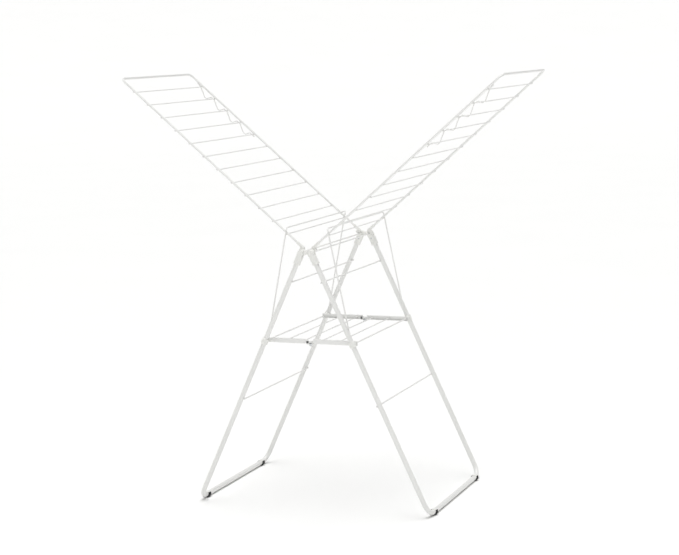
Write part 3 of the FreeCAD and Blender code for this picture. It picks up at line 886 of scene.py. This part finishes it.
@dataclass
class Shelf:
    """One half of the folding shelf. Millimetres."""

    side: Side
    bar_y: float = 258.0
    depth: float = 7.0
    height: float = 15.0
    wall: float = 1.2
    overhang: float = 9.0
    end_gap: float = 8.0
    drop: float = 10.0
    lug: float = 6.5
    lug_thick: float = 2.3
    lug_gap: float = 0.3
    shank: float = 2.5
    rivet: float = 4.5

    def __post_init__(self) -> None:
        """Works out the half's own coordinates from its leg pivot."""
        x, z = pivot("left_shelf_hinge")
        self.name = self.side.value
        self.body = f"{self.name}_shelf_half"
        self.span = -x
        self.place = BodyFrame(x, z, 0.0, self.side)

    def channel_section(self) -> np.ndarray:
        """Closed C outline in depth and height: rounded corners, a thin wall and its mouth towards the middle.

        Returns:
            (n, 2) closed section.
        """
        h, w, r = self.height / 2, self.wall, 1.8
        arc = np.linspace(0, math.pi / 2, 6)
        top = np.stack([-r + r * np.sin(arc), h - r + r * np.cos(arc)], 1)
        outer = np.concatenate([[[-self.depth + 0.3, h]], top, (top * [1, -1])[::-1], [[-self.depth + 0.3, -h]]])
        q = r - w
        bend = np.stack([-w - q + q * np.sin(arc), h - w - q + q * np.cos(arc)], 1)
        inner = np.concatenate([[[-self.depth, -h + w]], bend * [1, -1], bend[::-1], [[-self.depth, h - w]]])
        return np.concatenate([outer, [[-self.depth, -h + 0.3]], inner, [[-self.depth, h - 0.3]]])

    def bar_shells(self, sign: int) -> list[Shell]:
        """The channel, its lug arm and its round lug, in the layer that this end uses.

        Args:
            sign: -1 for the -y side, 1 for the +y side.

        Returns:
            The channel, the lug and its arm.
        """
        section = self.channel_section()
        stations = np.array([-self.overhang, self.span - self.end_gap])
        y = sign * (self.bar_y + section[:, 0])
        x = np.repeat(stations[:, None], len(section), 1)
        rings = np.stack([x, np.repeat(y[None], 2, 0), np.repeat(section[None, :, 1], 2, 0)], -1)
        outside = self.bar_y if sign < 0 else self.bar_y - self.lug_thick - self.lug_gap
        inside = outside - self.lug_thick
        round_lug = super_outline(self.lug, self.lug, self.lug, 2, 2) + [self.span, -self.drop]
        disc = slab(round_lug, sign * inside, sign * outside, 0.3)
        arm_outline = super_outline(9.0, 5.9, 5.9, 8, 8) + [self.span - 7.0, -4.1]
        arm = slab(arm_outline, sign * inside, sign * outside, 0.3)
        shells = [skin(rings), disc, arm]
        if sign > 0:
            packer = super_outline(4.4, 4.4, 4.4, 8, 8) + [self.span - 13.5, -2.4]
            shells.append(slab(packer, sign * inside, sign * (self.bar_y - 0.6), 0.3))
        return shells

    def rivet_shells(self) -> list[Shell]:
        """Domed rivet heads each side of the two lugs, on a plain shank.

        Returns:
            The shanks and heads.
        """
        shells = []
        stack = 2 * self.lug_thick + self.lug_gap
        for sign, _ in BOTH:
            centre = (self.span, 0, -self.drop)
            outer, inner = self.bar_y, self.bar_y - stack
            shells.append(turned(eased(sign * (inner - 0.4), sign * (outer + 0.4), self.shank, 0.1), centre))
            shells.append(turned(domed(sign * (outer + 0.1), sign * (outer + 0.7), self.rivet), centre))
            shells.append(turned(domed(sign * (inner - 0.1), sign * (inner - 1.3), self.rivet), centre))
        return shells

    def build(self) -> None:
        """Builds the bars and rivets and dresses the wires and rod."""
        for sign, _ in BOTH:
            label = own_name(self.side, sign)
            bar, nodes = self.bar_shells(sign), (f"{self.name}_shelf_{label}_bar",)
            add_piece(f"{self.name}_{label}_channel", bar, self.place, self.body, POWDER_COAT, nodes)
        if self.side is Side.LEFT:
            rivets = self.rivet_shells()
            add_piece("centre_rivets", rivets, self.place, self.body, ZINC_PLATE, ("shelf_rivets",))
        dress(f"{self.name}_shelf_wires", POWDER_COAT)
        dress(f"{self.name}_shelf_rod", POWDER_COAT)
        dress(f"{self.name}_prop", POWDER_COAT)


# ---------------------------------------------------------------- studio
@dataclass
class Studio:
    """Pale floor, soft light from overhead and a long-lens camera. Metres."""

    eye: tuple[float, float, float] = (2.11515, -5.49939, 1.53486)
    forward: tuple[float, float, float] = (-0.351435, 0.925855, -0.138876)
    right: tuple[float, float, float] = (0.935739, 0.352085, -0.020684)
    lens: float = 93.74
    shift: tuple[float, float] = (-0.00938, 0.00847)
    floor_radius: float = 60.0
    flat: float = 20.0
    rim: float = 12.0

    def floor(self) -> None:
        """A round floor, its grid in radius and turn.

        Height is zero to the flat radius and then rises with the square of the share of the rest.
        """
        radius = np.concatenate(
            [np.linspace(0.02, 3.0, 12), np.linspace(4.0, self.flat, 10), np.linspace(22.0, self.floor_radius, 16)]
        )
        turn = np.linspace(0, 2 * math.pi, 72, endpoint=False)
        past = np.clip((radius - self.flat) / (self.floor_radius - self.flat), 0, 1)
        height = self.rim * past**2
        x, y = radius[:, None] * np.cos(turn), radius[:, None] * np.sin(turn)
        rings = np.stack([x, y, np.repeat(height[:, None], len(turn), 1)], -1)
        shell = skin(rings)
        mesh = bpy.data.meshes.new("floor")
        mesh.from_pydata(shell.points.tolist(), [], shell.faces[:-1])
        mesh.polygons.foreach_set("use_smooth", np.ones(len(mesh.polygons), bool))
        mesh.materials.append(PAINTS.get(STUDIO_PAINT))
        floor = bpy.data.objects.new("floor", mesh)
        bpy.context.scene.collection.objects.link(floor)

    def lights(self) -> None:
        """Dim white surroundings, a wide overhead light and a weak soft key from the front."""
        scene = bpy.context.scene
        world = bpy.data.worlds.new("studio")
        world.use_nodes = True
        world.node_tree.nodes["Background"].inputs["Color"].default_value = (1, 1, 1, 1)
        world.node_tree.nodes["Background"].inputs["Strength"].default_value = 0.13
        scene.world = world
        overhead = bpy.data.lights.new("overhead", "SUN")
        overhead.energy = 2.9
        overhead.angle = math.radians(60)
        scene.collection.objects.link(bpy.data.objects.new("overhead", overhead))
        key = bpy.data.lights.new("key", "AREA")
        key.energy = 26
        key.size = 1.3
        lamp = bpy.data.objects.new("key", key)
        lamp.location = (0.9, -4.6, 2.1)
        lamp.rotation_mode = "QUATERNION"
        lamp.rotation_quaternion = (Vector((0, 0, 0.7)) - lamp.location).to_track_quat("-Z", "Y")
        scene.collection.objects.link(lamp)
        scene.view_settings.view_transform = "Standard"

    def camera(self) -> None:
        """Sets the camera from its eye point, its forward and its right directions."""
        forward, right = Vector(self.forward).normalized(), Vector(self.right).normalized()
        up = right.cross(forward).normalized()
        turn = Matrix((right, up, -forward)).transposed()
        data = bpy.data.cameras.new("camera")
        data.lens = self.lens
        data.sensor_width = 36.0
        data.shift_x, data.shift_y = self.shift
        data.clip_start, data.clip_end = 0.05, 200.0
        camera = bpy.data.objects.new("camera", data)
        camera.rotation_mode = "QUATERNION"
        camera.rotation_quaternion = turn.to_quaternion()
        camera.location = self.eye
        bpy.context.scene.collection.objects.link(camera)
        bpy.context.scene.camera = camera

    def build(self) -> None:
        """Builds the studio."""
        self.camera()
        self.floor()
        self.lights()


def main() -> None:
    """Builds the studio and the rack."""
    logging.basicConfig(level=logging.INFO, format="%(name)s %(message)s")
    Studio().build()
    HingeHead().build()
    for side in Side:
        LegFrame(side).build()
        Wing(side).build()
        Shelf(side).build()


if __name__ == "__main__":
    main()
